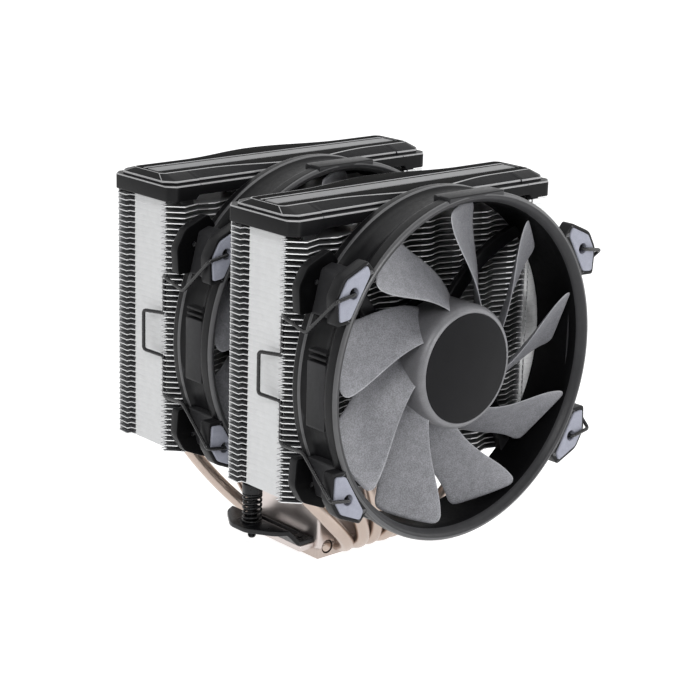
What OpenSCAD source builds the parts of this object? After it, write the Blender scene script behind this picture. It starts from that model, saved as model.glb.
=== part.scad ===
// Dual-tower CPU air cooler with two clipped-on 140 mm class fans.
// Frame: origin at the centre of the base's contact face, +Z up, X across the
// width, air flows towards +Y. Millimetres.

/* [Towers] */
// Distance between the two tower centres
tower_pitch = 75.2; // [74.8:0.1:77]
// Depth of a fin sheet, front to back
fin_depth = 40.6; // [40.2:0.1:41]
// Height of the lowest fin above the contact face
fin_z0 = 44.9; // [44.5:0.1:45.3]
// Spacing of the fin sheets
fin_pitch = 2.3; // [2.3:0.01:2.31]
// Number of fin sheets in a tower
fin_count = 46; // [40:1:46]
// Thickness of a fin sheet
fin_t = 0.4; // [0.3:0.05:0.5]
// Half width of a fin sheet
fin_hx = 69.3; // [69:0.1:69.6]

/* [Heat pipes] */
// Diameter of a heat pipe
pipe_d = 6; // [5.6:0.1:6]
// Spacing of the heat pipes in the base
pipe_pitch = 6.25; // [6.2:0.05:6.4]
// Spacing of the heat pipes in a tower
tower_pipe_pitch = 19.2; // [18:0.1:19.6]
// Height of the heat pipes' axis in the base
pipe_z = 4.6; // [4.4:0.1:4.8]
// Height of the heat pipes' upper ends
pipe_top = 155; // [153:0.5:155.5]

/* [Base] */
// Width of the contact plate
base_w = 48; // [47.6:0.1:49]
// Depth of the contact plate
base_d = 46; // [44:0.5:48]
// Top of the base block
block_top = 22; // [20:0.5:24]

/* [Mounting] */
// Distance from the centre to each spring screw
screw_x = 41; // [40.5:0.1:41.5]
// Radius of the screw's threaded end
thread_r = 1.75; // [1.5:0.05:1.8]
// Turns of a mounting spring
spring_turns = 7; // [5:1:7]
// Wire diameter of a mounting spring
spring_wire = 1.1; // [0.9:0.05:1.1]

/* [Covers] */
// Height of a cover's lower edge
cover_z = 151; // [151:0.1:151.4]
// Height of a cover's top face
cover_top = 161; // [160.8:0.1:161.4]
// Half width of a cover
cover_hx = 71; // [70.8:0.1:71.2]

/* [Fans] */
// Depth of a fan frame
fan_d = 25; // [25:0.1:25.4]
// Height of the fan axis
fan_z = 94; // [93.8:0.1:94.2]
// Outer radius of the front rim
rim_r = 70.5; // [70.3:0.1:70.8]
// Radius of the fan duct
duct_r = 65.5; // [65.3:0.1:65.8]
// Radius over the blade tips
tip_r = 64.2; // [63.5:0.1:64.4]
// Number of blades
blades = 9; // [9:1:9]
// Radius of the hub
hub_r = 25.5; // [25:0.1:25.8]
// Radius of the fan shaft
shaft_r = 1.5; // [1.45:0.01:1.5]

/* [Clips] */
// Wire diameter of a fan clip
clip_wire = 1.5; // [1.3:0.1:1.6]

/* [Hidden] */

pipe_r = pipe_d / 2;
hy = fin_depth / 2;
yt = tower_pitch / 2;
fan_y = -hy - fan_d;            // front plane of a fan, from its tower's centre
base_hx = base_w / 2;
base_hy = base_d / 2;
eps = 0.01;

// ---------- vector helpers ----------
function unit(v) = v / norm(v);
function bez3(a, b, c, d, t) = pow(1-t,3)*a + 3*pow(1-t,2)*t*b + 3*(1-t)*t*t*c + t*t*t*d;
function bez2(a, b, c, t) = (1-t)*(1-t)*a + 2*(1-t)*t*b + t*t*c;
function tangent(p, i) = unit(p[min(i+1, len(p)-1)] - p[max(i-1, 0)]);
// a polyline with each inner corner rounded over a length r
function smooth(p, r, k) = [ p[0], for (i = [1 : len(p)-2])
    let (a = p[i] + unit(p[i-1]-p[i]) * r, b = p[i] + unit(p[i+1]-p[i]) * r)
    each [ for (j = [0 : k]) bez2(a, p[i], b, j/k) ], p[len(p)-1] ];
// closed tube of radii rad along the points p, with n sides
module sweep(p, rad, n, ref) {
  m = len(p);
  pts = [ for (i = [0 : m-1]) let (t = tangent(p, i), u = unit(cross(t, ref)), w = cross(t, u))
          for (j = [0 : n-1]) p[i] + rad[i] * (cos(360*j/n) * u + sin(360*j/n) * w) ];
  fcs = concat(
    [ [ for (j = [0 : n-1]) j ] ],
    [ for (i = [0 : m-2]) for (j = [0 : n-1]) each [
        [ i*n + j, (i+1)*n + j, i*n + (j+1)%n ],
        [ i*n + (j+1)%n, (i+1)*n + j, (i+1)*n + (j+1)%n ] ] ],
    [ [ for (j = [n-1 : -1 : 0]) (m-1)*n + j ] ]);
  polyhedron(points = pts, faces = fcs, convexity = 10);
}

// ---------- base ----------
function xb(k) = (k - 4) * pipe_pitch;              // pipe k of 1 to 7, in the base
module pipe_grooves() {
  for (k = [1 : 7]) translate([xb(k), 0, pipe_z]) rotate([90, 0, 0]) cylinder(r = pipe_r + 0.03, h = base_d + 4, center = true, $fn = 48);
}
module cold_plate() {
  color([0.80, 0.74, 0.70]) difference() {
    translate([-base_hx, -base_hy, 0]) cube([base_w, base_d, pipe_z]);
    pipe_grooves();
  }
}
module base_block() {
  color([0.74, 0.69, 0.67]) difference() {
    union() {
      translate([-base_hx, -base_hy, pipe_z]) cube([base_w, base_d, block_top - pipe_z]);
      for (s = [-1, 1]) translate([s > 0 ? base_hx - eps : -32, -20.8, pipe_z]) cube([32 - base_hx + eps, 41.6, 2.6]);
    }
    pipe_grooves();
    for (sx = [-1, 1], sy = [-1, 1]) translate([sx*29, sy*17, 0]) cylinder(r = 1.45, h = 12, $fn = 32);
  }
}

// ---------- heat pipes ----------
function stagger(j) = (j % 2 == 0) ? 4 : -4;
function tower_x(j) = (j - 2.5) * tower_pipe_pitch;  // pipe hole j of 0 to 5, in a tower
// side s is -1 towards the front tower and +1 towards the rear one
function riser(x0, s, j) = let (
    a = [x0, s*base_hy, pipe_z], d = [tower_x(j), s*yt + stagger(j), 44.4],
    b = a + [0, s*20, 2], c = d - [0.12*(d[0] - x0), 0, 9])
  concat([ for (i = [0 : 13]) bez3(a, b, c, d, i/13) ],
         [ [d[0], d[1], 100], [d[0], d[1], pipe_top - 2], [d[0], d[1], pipe_top - 0.8], [d[0], d[1], pipe_top] ]);
function riser_rad() = concat([ for (i = [0 : 15]) pipe_r ], [ pipe_r*0.8, pipe_r*0.35 ]);
function flip(v) = [ for (i = [len(v)-1 : -1 : 0]) v[i] ];
module pipe_u(k) sweep(concat(flip(riser(xb(k), -1, k-2)), riser(xb(k), 1, k-1)),
                       concat(flip(riser_rad()), riser_rad()), 12, [1, 0.05, 0.02]);
// an end pipe that serves one tower only and closes flush with the base's far side
module pipe_l(x0, s, j) sweep(
    concat([ [x0, -s*(base_hy + 0.6), pipe_z], [x0, -s*(base_hy + 0.1), pipe_z], [x0, -s*(base_hy - 1.2), pipe_z] ], riser(x0, s, j)),
    concat([ pipe_r*0.45, pipe_r*0.82, pipe_r ], riser_rad()), 12, [1, 0.05, 0.02]);
module heat_pipe(k) color([0.82, 0.72, 0.66]) {
  if (k == 1) pipe_l(xb(1), 1, 0);
  else if (k == 7) pipe_l(xb(7), -1, 5);
  else pipe_u(k);
}

// ---------- fins ----------
// right-hand half of the outline, from the front middle round to the rear middle;
// the other half is the same, turned half a turn
tooth = 15.9;
function front_teeth() = [ for (i = [0 : 3]) each [ [i*tooth + 0.8, -hy], [i*tooth + 7.95, -hy + 2.4] ] ];
function rear_teeth() = [ for (i = [3 : -1 : 0]) each [ [i*tooth + 7.95, hy - 2.4], [i*tooth + 0.8, hy] ] ];
function half_outline() = concat(front_teeth(),
  [ [56.4, -hy], [67.6, -hy], [68.4, -19.6], [68.8, -13.1], [66.8, -13.0], [66.3, -10.6], [66.3, 10.7],
    [fin_hx - 0.5, 10.8], [fin_hx - 0.5, 11.2], [fin_hx - 2.3, 11.3], [fin_hx - 2.3, 12.95], [fin_hx, 13.05], [fin_hx, 14.6], [63.6, hy] ],
  rear_teeth());
fin_outline = concat(half_outline(), [ for (p = half_outline()) -p ]);
module fin_sheet() {
  linear_extrude(fin_t) difference() {
    polygon(fin_outline);
    for (j = [0 : 5]) translate([tower_x(j), stagger(j)]) circle(r = pipe_r + 0.06, $fn = 32);
  }
  // folded tabs: one along each side, and one at the front right and the rear left
  for (a = [0, 180]) rotate(a) {
    translate([65.9, -10.6, fin_t/2]) cube([0.4, 21.1, fin_pitch - 0.05 - fin_t/2]);
    translate([58.8, -hy, fin_t/2]) cube([8.8, 0.4, fin_pitch - 0.05 - fin_t/2]);
  }
}
module fin_stack(s) color([0.86, 0.87, 0.88]) translate([0, s*yt, fin_z0])
  for (i = [0 : fin_count-1]) translate([0, 0, i*fin_pitch]) fin_sheet();

// ---------- covers ----------
ledge_z = cover_z + 6.4;
function bow(x) = 10 + 7 * (abs(x) < 44 ? (1 + cos(180*x/44)) / 2 : 0);
cn = 24;
function side_y(x, hx, h, c) = min(h, h - (abs(x) - (hx - c)));
function ring_low(hx, h, c, z) = concat(
    [ for (i = [0 : cn]) let (x = -hx + 2*hx*i/cn) [x, -side_y(x, hx, h, c), z] ],
    [ for (i = [cn : -1 : 0]) let (x = -hx + 2*hx*i/cn) [x, side_y(x, hx, h, c), z] ]);
function ring_top(hx, z) = concat(
    [ for (i = [0 : cn]) let (x = -hx + 2*hx*i/cn) [x, -bow(x), z] ],
    [ for (i = [cn : -1 : 0]) let (x = -hx + 2*hx*i/cn) [x, bow(x), z] ]);
module loft(rings) {
  n = len(rings[0]); m = len(rings); q = (m-1)*n;
  polyhedron(points = [ for (r = rings) each r ], faces = concat(
    [ for (j = [0 : n/2-2]) each [ [ j, j+1, n-1-j ], [ j+1, n-2-j, n-1-j ] ] ],
    [ for (i = [0 : m-2]) for (j = [0 : n-1]) each [
        [ i*n + j, (i+1)*n + j, i*n + (j+1)%n ],
        [ i*n + (j+1)%n, (i+1)*n + j, (i+1)*n + (j+1)%n ] ] ],
    [ for (j = [0 : n/2-2]) each [ [ q+j, q+n-1-j, q+j+1 ], [ q+j+1, q+n-1-j, q+n-2-j ] ] ]), convexity = 6);
}
module cover_outline(hx, h, c) polygon([ [-hx+c, -h], [hx-c, -h], [hx, -h+c], [hx, h-c], [hx-c, h], [-hx+c, h], [-hx, h-c], [-hx, -h+c] ]);
strip_hx = 65; strip_hy = 3.6; strip_t = 0.9;
module cover() color([0.10, 0.10, 0.11]) {
  difference() {
    union() {
      translate([0, 0, cover_z]) linear_extrude(ledge_z - cover_z) cover_outline(cover_hx, hy, 3.2);
      loft([ ring_low(70, 17.7, 4, ledge_z - 0.3), ring_low(70, 17.7, 4, ledge_z + 1.4), ring_top(67.6, cover_top) ]);
    }
    translate([0, 0, cover_z - 1]) linear_extrude(6) cover_outline(cover_hx - 1.7, hy - 1.7, 3.2);
    for (s = [-1, 1]) translate([-57.5, s > 0 ? hy - 2 : -hy - 1, cover_z - 1]) cube([115, 3, 2.8]);
    translate([-strip_hx - 1.3, -strip_hy - 1.3, cover_top - 1.1]) cube([2*strip_hx + 2.6, 2*strip_hy + 2.6, 3]);
  }
  // stops that rest on the top fin
  for (sx = [-1, 1], sy = [-1, 1]) translate([sx*61 - 3, sy*17.6 - 0.9, fin_z0 + (fin_count-1)*fin_pitch + fin_t])
    cube([6, 1.8, cover_z + 5.5 - (fin_z0 + (fin_count-1)*fin_pitch + fin_t)]);
}
module cover_strip() color([0.56, 0.57, 0.59]) translate([-strip_hx, -strip_hy, cover_top - 1.1]) cube([2*strip_hx, 2*strip_hy, strip_t]);

// ---------- mounting hardware (left side, mirrored for the right) ----------
wing_z = 7.2; wing_t = 2; wing_up = 5.2;
module wing() color([0.11, 0.11, 0.12]) difference() {
  intersection() {
    translate([0, 30, 0]) rotate([90, 0, 0]) linear_extrude(60) polygon([
      [-24.3, wing_z], [-32.8, wing_z], [-36.8, wing_z + wing_up], [-50, wing_z + wing_up],
      [-50, wing_z + wing_up + wing_t], [-36.0, wing_z + wing_up + wing_t], [-32.0, wing_z + wing_t], [-24.3, wing_z + wing_t] ]);
    linear_extrude(30) polygon([ [-24.3, -20.5], [-33.5, -20.5], [-41.5, -16.5], [-49, -5], [-49, 5], [-41.5, 16.5], [-33.5, 20.5], [-24.3, 20.5] ]);
  }
  translate([-33, -13, 0]) cube([7.4, 26, 20]);
  translate([-screw_x, 0, 0]) cylinder(r = 2.6, h = 20, $fn = 48);
  for (sy = [-1, 1]) translate([-29, sy*17, wing_z - 1]) cylinder(r = 1.45, h = 5, $fn = 32);
  for (sy = [-1, 1]) translate([-29, sy*17, wing_z + wing_t - 1.2]) cylinder(r = 2.75, h = 3, $fn = 32);
}
module bracket_screws() color([0.14, 0.14, 0.15]) for (sx = [-1, 1], sy = [-1, 1]) translate([sx*29, sy*17, 0]) difference() {
  union() {
    translate([0, 0, 3.2]) cylinder(r = 1.4, h = 5.4, $fn = 32);
    translate([0, 0, wing_z + wing_t - 1.2]) cylinder(r = 2.7, h = 1.3, $fn = 32);
  }
  for (a = [0, 90]) rotate([0, 0, a]) translate([-1.6, -0.3, wing_z + wing_t - 0.6]) cube([3.2, 0.6, 2]);
}
spring_z0 = wing_z + wing_up + wing_t + 0.05;
head_z = 27.4;
module mount_screw() color([0.13, 0.13, 0.14]) translate([-screw_x, 0, 0]) difference() {
  union() {
    translate([0, 0, head_z]) cylinder(r = 4.3, h = 4.4, $fn = 48);
    translate([0, 0, 12.2]) cylinder(r = 2.0, h = head_z - 12.2 + eps, $fn = 48);
    translate([0, 0, 11.1]) cylinder(r = 1.4, h = 1.2, $fn = 48);
    translate([0, 0, 7.2]) cylinder(r = thread_r, h = 3.9 + eps, $fn = 48);
  }
  for (a = [0, 90]) rotate([0, 0, a]) translate([-2.7, -0.5, head_z + 2.2]) cube([5.4, 1.0, 5]);
}
module screw_retainer() color([0.20, 0.20, 0.21]) translate([-screw_x, 0, 11.25]) difference() {
  cylinder(r = 3.2, h = 0.8, $fn = 48);
  translate([0, 0, -1]) cylinder(r = 1.46, h = 3, $fn = 48);
}
module spring() color([0.12, 0.12, 0.13]) {
  z1 = spring_z0 + spring_wire/2; z2 = head_z - 0.05 - spring_wire/2;
  steps = spring_turns * 8; rr = 4.3 - spring_wire/2;
  // closed first and last turns, open turns between
  p = [ for (i = [0 : steps]) let (u = i/steps, n = spring_turns, v = max(0, min(1, (u*n - 0.8)/(n - 1.6))))
        [ -screw_x + rr*cos(360*n*u), rr*sin(360*n*u), z1 + (z2 - z1) * (0.07*u + 0.93*v) ] ];
  sweep(p, [ for (q = p) spring_wire/2 ], 6, [0.01, 0.02, 1]);
}

// ---------- fan ----------
// turns a shape drawn with +Z towards the back into place: z of 0 is the fan's front plane
module fan_place(s) translate([0, s*yt + fan_y, fan_z]) rotate([-90, 0, 0]) children();
module duct_ring() rotate_extrude($fn = 96) polygon([
  [duct_r, 5.5], [duct_r + 0.7, 2.6], [duct_r + 2.0, 0.6], [duct_r + 2.9, 0], [rim_r - 1.2, 0], [rim_r - 0.3, 0.5], [rim_r, 1.6], [rim_r, 5.2],
  [rim_r - 1.0, 7.0], [68.2, 8.4], [67.5, 10.5], [67.5, 17.5], [68.0, 19.4], [69.4, 20.8], [69.6, 21.6], [69.6, fan_d], [duct_r, fan_d] ]);
pad_pts = [ [55.8, 50.0], [54.2, 46.6], [63.8, 30.4], [69.0, 29.8], [69.6, 39.0], [65.8, 45.6] ];
ear_pts = [ [55.6, 51.6], [51.8, 47.0], [57.0, 38.0], [60.5, 27.5], [70.2, 28.4], [71.0, 39.4], [66.7, 46.8] ];
module mirror4() for (sx = [0, 1], sz = [0, 1]) mirror([sx, 0, 0]) mirror([0, sz, 0]) children();
hole_at = [62.4, 40.2];
flat_h = 70.0;                          // height of the flat above the fan axis
module fan_frame() color([0.13, 0.13, 0.14]) {
  difference() {
    union() {
      duct_ring();
      // the channel behind the front rim is filled under the flat at the top
      translate([-15, -71, 0]) cube([30, 11, 8.8]);
      // ears at the front and the back, joined by a web
      mirror4() { linear_extrude(5.5) polygon(ear_pts); translate([0, 0, fan_d - 4.5]) linear_extrude(4.5) polygon(ear_pts);
        translate([0, 0, 5]) linear_extrude(fan_d - 9) polygon([ [55.0, 47.0], [60.8, 27.5], [64.6, 28.4], [60.2, 45.2] ]); }
    }
    translate([0, 0, -1]) cylinder(r = duct_r, h = fan_d + 2, $fn = 96);
    translate([0, 0, -1]) cylinder(r1 = duct_r + 3.6, r2 = duct_r, h = 5, $fn = 96);
    // flat at the top
    translate([-30, -flat_h - 10, -1]) cube([60, 10, fan_d + 2]);
    // recesses for the pads
    mirror4() for (z = [-1, fan_d - 2.4]) translate([0, 0, z]) linear_extrude(3.4) polygon(pad_pts);
    mirror4() translate([hole_at[0], hole_at[1], -1]) cylinder(r = 2.3, h = fan_d + 2, $fn = 32);
  }
  // motor mount, struts and bearing tube
  difference() {
    union() {
      translate([0, 0, 21]) cylinder(r = 26, h = 3.6, $fn = 64);
      translate([0, 0, 6.6]) cylinder(r = 5.6, h = 15, $fn = 48);
      for (q = [0 : 3]) rotate([0, 0, -(52 + 90*q)]) translate([0, 0, 21]) linear_extrude(3.4) polygon(concat(
        [ for (i = [0 : 8]) let (r = 24 + i*5.28, a = 12 - 20*i/8) [ r*cos(a - 180*3.2/(PI*r)), -r*sin(a - 180*3.2/(PI*r)) ] ],
        [ for (i = [8 : -1 : 0]) let (r = 24 + i*5.28, a = 12 - 20*i/8) [ r*cos(a + 180*3.2/(PI*r)), -r*sin(a + 180*3.2/(PI*r)) ] ]));
    }
    translate([0, 0, 5]) cylinder(r = 4.05, h = 17, $fn = 48);
  }
}
module pad_one() difference() { linear_extrude(3) offset_pad(); translate([hole_at[0], hole_at[1], -1]) cylinder(r = 2.2, h = 6, $fn = 32); }
module offset_pad() polygon([ for (p = pad_pts) [61.6, 40.2] + (p - [61.6, 40.2]) * 0.985 ]);
module fan_pads() color([0.55, 0.56, 0.62]) mirror4() {
  translate([0, 0, -0.6]) pad_one();
  translate([0, 0, fan_d - 2.4]) linear_extrude(2.4) difference() { offset_pad(); translate(hole_at) circle(r = 2.2, $fn = 32); }
}
// blade edges: angle and depth as functions of the radius
function lead_a(r) = 107.3 + 33.5 * sin(90 * pow((r - 25) / 39.2, 0.86));
function chord_a(r) = 33 - 9 * sin(90 * (r - 25) / 39.2);
function lead_s(r) = 4.2 - 2.2 * (r - 25) / 39.2;
function trail_s(r) = 18.6 - 3.2 * (r - 25) / 39.2;
br = 6; bc = 5;
function blade_pt(i, j, side) = let (
    r = i == 0 ? hub_r - 1.2 : 26 + (tip_r - 26) * i / br, rr = max(r, 25), t = j / bc,
    w = (j == 0 || j == bc) ? 0.35 : 0.75,
    ca = chord_a(rr), ds = trail_s(rr) - lead_s(rr), dl = ca * PI/180 * r, l = norm([dl, ds]),
    a = lead_a(rr) - ca*t + side * w * (ds/l) / r * 180/PI,
    s = lead_s(rr) + ds * (t + 0.10*sin(180*t)) + side * w * (dl/l))
  [ r*cos(a), -r*sin(a), s ];
module blade() {
  n = (br+1)*(bc+1);
  function f(i, j) = i*(bc+1) + j;
  pts = concat([ for (i = [0:br], j = [0:bc]) blade_pt(i, j, -1) ], [ for (i = [0:br], j = [0:bc]) blade_pt(i, j, 1) ]);
  fcs = concat(
    [ for (i = [0:br-1], j = [0:bc-1]) each [ [f(i,j), f(i,j+1), f(i+1,j)], [f(i,j+1), f(i+1,j+1), f(i+1,j)] ] ],
    [ for (i = [0:br-1], j = [0:bc-1]) each [ [n+f(i,j), n+f(i+1,j), n+f(i,j+1)], [n+f(i,j+1), n+f(i+1,j), n+f(i+1,j+1)] ] ],
    [ for (i = [0:br-1]) each [ [f(i,0), f(i+1,0), n+f(i,0)], [f(i+1,0), n+f(i+1,0), n+f(i,0)] ] ],
    [ for (i = [0:br-1]) each [ [f(i,bc), n+f(i,bc), f(i+1,bc)], [f(i+1,bc), n+f(i,bc), n+f(i+1,bc)] ] ],
    [ for (j = [0:bc-1]) each [ [f(0,j), n+f(0,j), f(0,j+1)], [f(0,j+1), n+f(0,j), n+f(0,j+1)] ] ],
    [ for (j = [0:bc-1]) each [ [f(br,j), f(br,j+1), n+f(br,j)], [f(br,j+1), n+f(br,j+1), n+f(br,j)] ] ]);
  polyhedron(points = pts, faces = [ for (q = fcs) flip(q) ], convexity = 6);
}
module impeller() color([0.40, 0.40, 0.43]) {
  rotate_extrude($fn = 96) polygon([
    [shaft_r + 0.01, 2.9], [22.6, 2.9], [22.95, 3.3], [22.95, 19.8], [hub_r, 19.8], [hub_r, 5.2], [hub_r - 0.5, 3.0], [hub_r - 1.7, 1.6], [hub_r - 3.0, 1.2],
    [22.4, 1.2], [22.4, 1.6], [3.2, 1.6], [3.2, 1.3], [shaft_r + 0.01, 1.3] ]);
  translate([0, 0, 2.8]) difference() { cylinder(r = 4.2, h = 3.4, $fn = 48); translate([0, 0, -1]) cylinder(r = shaft_r + 0.01, h = 6, $fn = 48); }
  for (q = [0 : blades-1]) rotate([0, 0, 360*q/blades]) blade();
}
module hub_label() color([0.09, 0.09, 0.10]) translate([0, 0, 1.1]) difference() { cylinder(r = 22.2, h = 0.45, $fn = 96); translate([0, 0, -1]) cylinder(r = 3.3, h = 3, $fn = 32); }
module fan_shaft() color([0.72, 0.73, 0.75]) translate([0, 0, 1.7]) cylinder(r = shaft_r, h = 18.8, $fn = 48);
module fan_bearing() color([0.62, 0.50, 0.30]) translate([0, 0, 7.2]) difference() { cylinder(r = 4.02, h = 13.4, $fn = 48); translate([0, 0, -1]) cylinder(r = shaft_r + 0.03, h = 16, $fn = 48); }
module rotor_yoke() color([0.55, 0.56, 0.58]) translate([0, 0, 5]) difference() { cylinder(r = 22.9, h = 14, $fn = 64); translate([0, 0, -1]) cylinder(r = 21.5, h = 16, $fn = 64); }
module rotor_magnet() color([0.16, 0.15, 0.15]) translate([0, 0, 6]) difference() { cylinder(r = 21.45, h = 12.4, $fn = 64); translate([0, 0, -1]) cylinder(r = 18.9, h = 15, $fn = 64); }
// four-pole laminated core
module stator_core() color([0.50, 0.51, 0.53]) translate([0, 0, 9]) linear_extrude(6.4) difference() {
  union() {
    circle(r = 8.6, $fn = 48);
    for (a = [0 : 90 : 270]) rotate(a + 7) {
      translate([8, -2.2]) square([9, 4.4]);
      polygon(concat([ for (i = [-6 : 6]) 18.2 * [cos(i*5.5), sin(i*5.5)] ], [ for (i = [6 : -1 : -6]) 16.2 * [cos(i*5.5), sin(i*5.5)] ]));
    }
  }
  circle(r = 5.62, $fn = 48);
}
module motor_coils() color([0.70, 0.38, 0.20]) for (a = [0 : 90 : 270]) rotate([0, 0, a + 7]) translate([9.4, 0, 12.2]) rotate([0, 90, 0])
  linear_extrude(6.0) difference() { square([10.4, 8.4], center = true); square([6.5, 4.5], center = true); }
module circuit_board() color([0.08, 0.30, 0.16]) translate([0, 0, 18.6]) difference() { cylinder(r = 17.6, h = 1.4, $fn = 64); translate([0, 0, -1]) cylinder(r = 5.7, h = 4, $fn = 48); }

// ---------- fan clips ----------
// left clip of a tower: from an ear's hole, between two fin sheets into the groove in the fins' edge,
// down the groove and out again to the handle; u is 1 for the upper half and -1 for the lower half.
// gap gives the middle height of the space over fin sheet i.
function gap(i) = fin_z0 + i*fin_pitch + (fin_pitch + fin_t)/2;
function clip_half(u) = let (zg = gap(u > 0 ? 32 : 10), zh = gap(u > 0 ? 25 : 17)) [
  [-62.4, fan_y + 1.2, fan_z + u*40.2], [-62.4, fan_y - 1.5, fan_z + u*40.2], [-72.0, fan_y - 1.5, fan_z + u*38.6],
  [-72.2, -30.5, fan_z + u*23.5], [-70.6, -16.5, zg], [-68.0, -12.12, zg], [-68.0, -12.12, zh], [-70.3, -1.0, zh - u*0.8] ];
module clip() color([0.10, 0.10, 0.11]) {
  p = smooth(concat(clip_half(1), flip(clip_half(-1))), 1.2, 1);
  sweep(p, [ for (q = p) clip_wire/2 ], 7, [0.31, 0.22, 0.93]);
}

// ---------- nodes ----------
module at_tower(s) translate([0, s*yt, 0]) children();
cold_plate();
base_block();
heat_pipe(1);  // heat_pipe_1
heat_pipe(2);  // heat_pipe_2
heat_pipe(3);  // heat_pipe_3
heat_pipe(4);  // heat_pipe_4
heat_pipe(5);  // heat_pipe_5
heat_pipe(6);  // heat_pipe_6
heat_pipe(7);  // heat_pipe_7
fin_stack(-1);  // front_fin_stack
fin_stack(1);  // rear_fin_stack
at_tower(-1) cover();  // front_cover
at_tower(1) cover();  // rear_cover
at_tower(-1) cover_strip();  // front_cover_strip
at_tower(1) cover_strip();  // rear_cover_strip
wing();  // left_mount_bracket
mirror([1, 0, 0]) wing();  // right_mount_bracket
bracket_screws();
mount_screw();  // left_mount_screw
translate([2*screw_x, 0, 0]) mount_screw();  // right_mount_screw
screw_retainer();  // left_screw_retainer
translate([2*screw_x, 0, 0]) screw_retainer();  // right_screw_retainer
spring();  // left_spring
translate([2*screw_x, 0, 0]) spring();  // right_spring
fan_place(-1) fan_frame();  // front_fan_frame
fan_place(1) fan_frame();  // rear_fan_frame
fan_place(-1) fan_pads();  // front_fan_pads
fan_place(1) fan_pads();  // rear_fan_pads
fan_place(-1) impeller();  // front_impeller
fan_place(1) impeller();  // rear_impeller
fan_place(-1) hub_label();  // front_hub_label
fan_place(1) hub_label();  // rear_hub_label
fan_place(-1) fan_shaft();  // front_fan_shaft
fan_place(1) fan_shaft();  // rear_fan_shaft
fan_place(-1) fan_bearing();  // front_fan_bearing
fan_place(1) fan_bearing();  // rear_fan_bearing
fan_place(-1) rotor_yoke();  // front_rotor_yoke
fan_place(1) rotor_yoke();  // rear_rotor_yoke
fan_place(-1) rotor_magnet();  // front_rotor_magnet
fan_place(1) rotor_magnet();  // rear_rotor_magnet
fan_place(-1) stator_core();  // front_stator_core
fan_place(1) stator_core();  // rear_stator_core
fan_place(-1) motor_coils();  // front_motor_coils
fan_place(1) motor_coils();  // rear_motor_coils
fan_place(-1) circuit_board();  // front_circuit_board
fan_place(1) circuit_board();  // rear_circuit_board
at_tower(-1) clip();  // front_left_clip
at_tower(-1) mirror([1, 0, 0]) clip();  // front_right_clip
at_tower(1) clip();  // rear_left_clip
at_tower(1) mirror([1, 0, 0]) clip();  // rear_right_clip
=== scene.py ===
import math

import bmesh
import bpy
from mathutils import Matrix, Vector
from mathutils.geometry import tessellate_polygon


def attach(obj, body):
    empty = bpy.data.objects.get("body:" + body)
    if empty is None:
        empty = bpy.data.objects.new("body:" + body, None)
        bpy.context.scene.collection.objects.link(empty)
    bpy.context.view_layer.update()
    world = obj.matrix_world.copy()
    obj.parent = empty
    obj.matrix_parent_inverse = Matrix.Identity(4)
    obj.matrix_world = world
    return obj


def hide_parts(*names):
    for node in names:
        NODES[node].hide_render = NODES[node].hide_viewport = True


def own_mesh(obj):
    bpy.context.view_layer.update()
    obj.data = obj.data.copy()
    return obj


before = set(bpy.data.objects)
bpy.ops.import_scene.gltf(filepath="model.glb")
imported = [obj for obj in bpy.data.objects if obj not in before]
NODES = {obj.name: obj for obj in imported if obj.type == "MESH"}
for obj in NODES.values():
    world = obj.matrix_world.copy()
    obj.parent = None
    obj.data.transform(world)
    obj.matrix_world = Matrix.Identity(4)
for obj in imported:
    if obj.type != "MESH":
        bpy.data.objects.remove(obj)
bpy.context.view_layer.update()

MM = 0.001


# Sizes in millimetres, the same as the CAD part's own.
YT = 37.6              # distance of each tower's centre from the middle
HY = 20.3              # half depth of a fin sheet
FAN_D = 25.0
FAN_Z = 94.0
FIN_Z0, FIN_PITCH, FIN_N, FIN_T = 44.9, 2.3, 46, 0.4
SCREW_X = 41.0


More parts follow.
